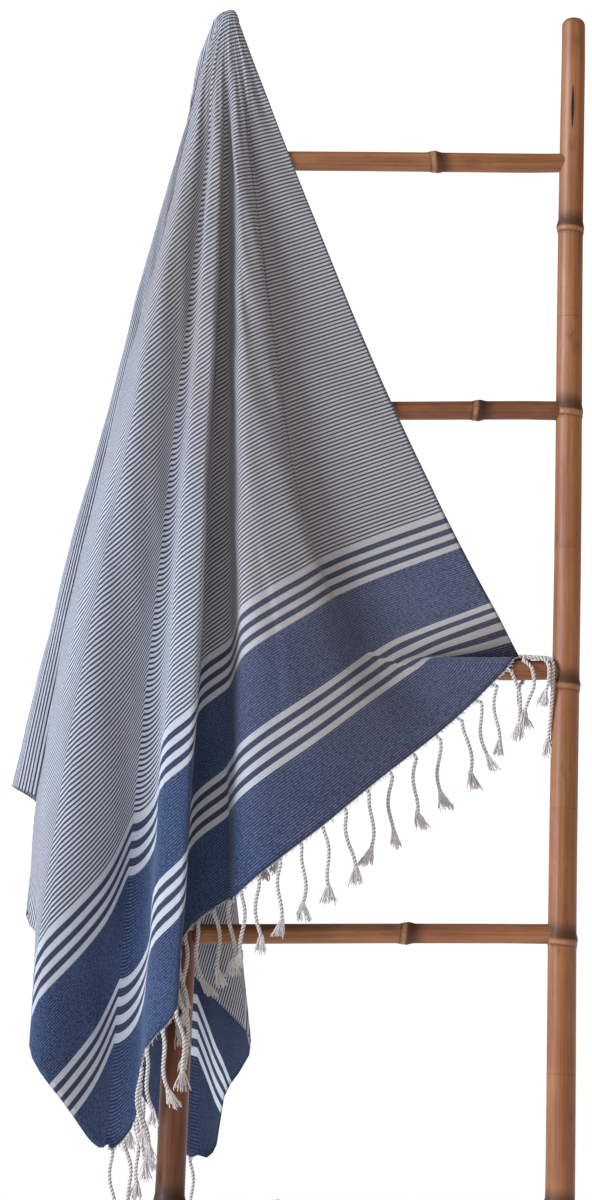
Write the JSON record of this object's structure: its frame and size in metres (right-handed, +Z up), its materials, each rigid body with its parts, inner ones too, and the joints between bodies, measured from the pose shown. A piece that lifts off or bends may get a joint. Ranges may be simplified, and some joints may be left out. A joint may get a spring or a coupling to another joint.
{
  "type": "hammam towel on bamboo ladder",
  "caption": "Striped flat-woven hammam towel with twisted tassels, hung in folds over the post of a leaning bamboo ladder.",
  "frame": {"origin": "centre of the left post's foot, on the floor", "axes": "+Z up, +X to the right along the rungs seen from the front, +Y back towards the wall that the ladder leans on"},
  "size_m": [0.6525, 0.3404, 1.4887],
  "materials": {
    "towel_cotton": "matt flat weave",
    "tassel_cotton": "matt twisted cord",
    "bamboo_post": "smooth bamboo skin",
    "bamboo_rung": "smooth bamboo skin"
  },
  "bodies": {
    "root": {"towel": "towel_cotton", "front_fringe": "tassel_cotton", "back_fringe": "tassel_cotton", "left_post": "bamboo_post", "right_post": "bamboo_post", "rung_1": "bamboo_rung", "rung_2": "bamboo_rung", "rung_3": "bamboo_rung", "rung_4": "bamboo_rung", "rung_5": "bamboo_rung"}
  },
  "joints": []
}
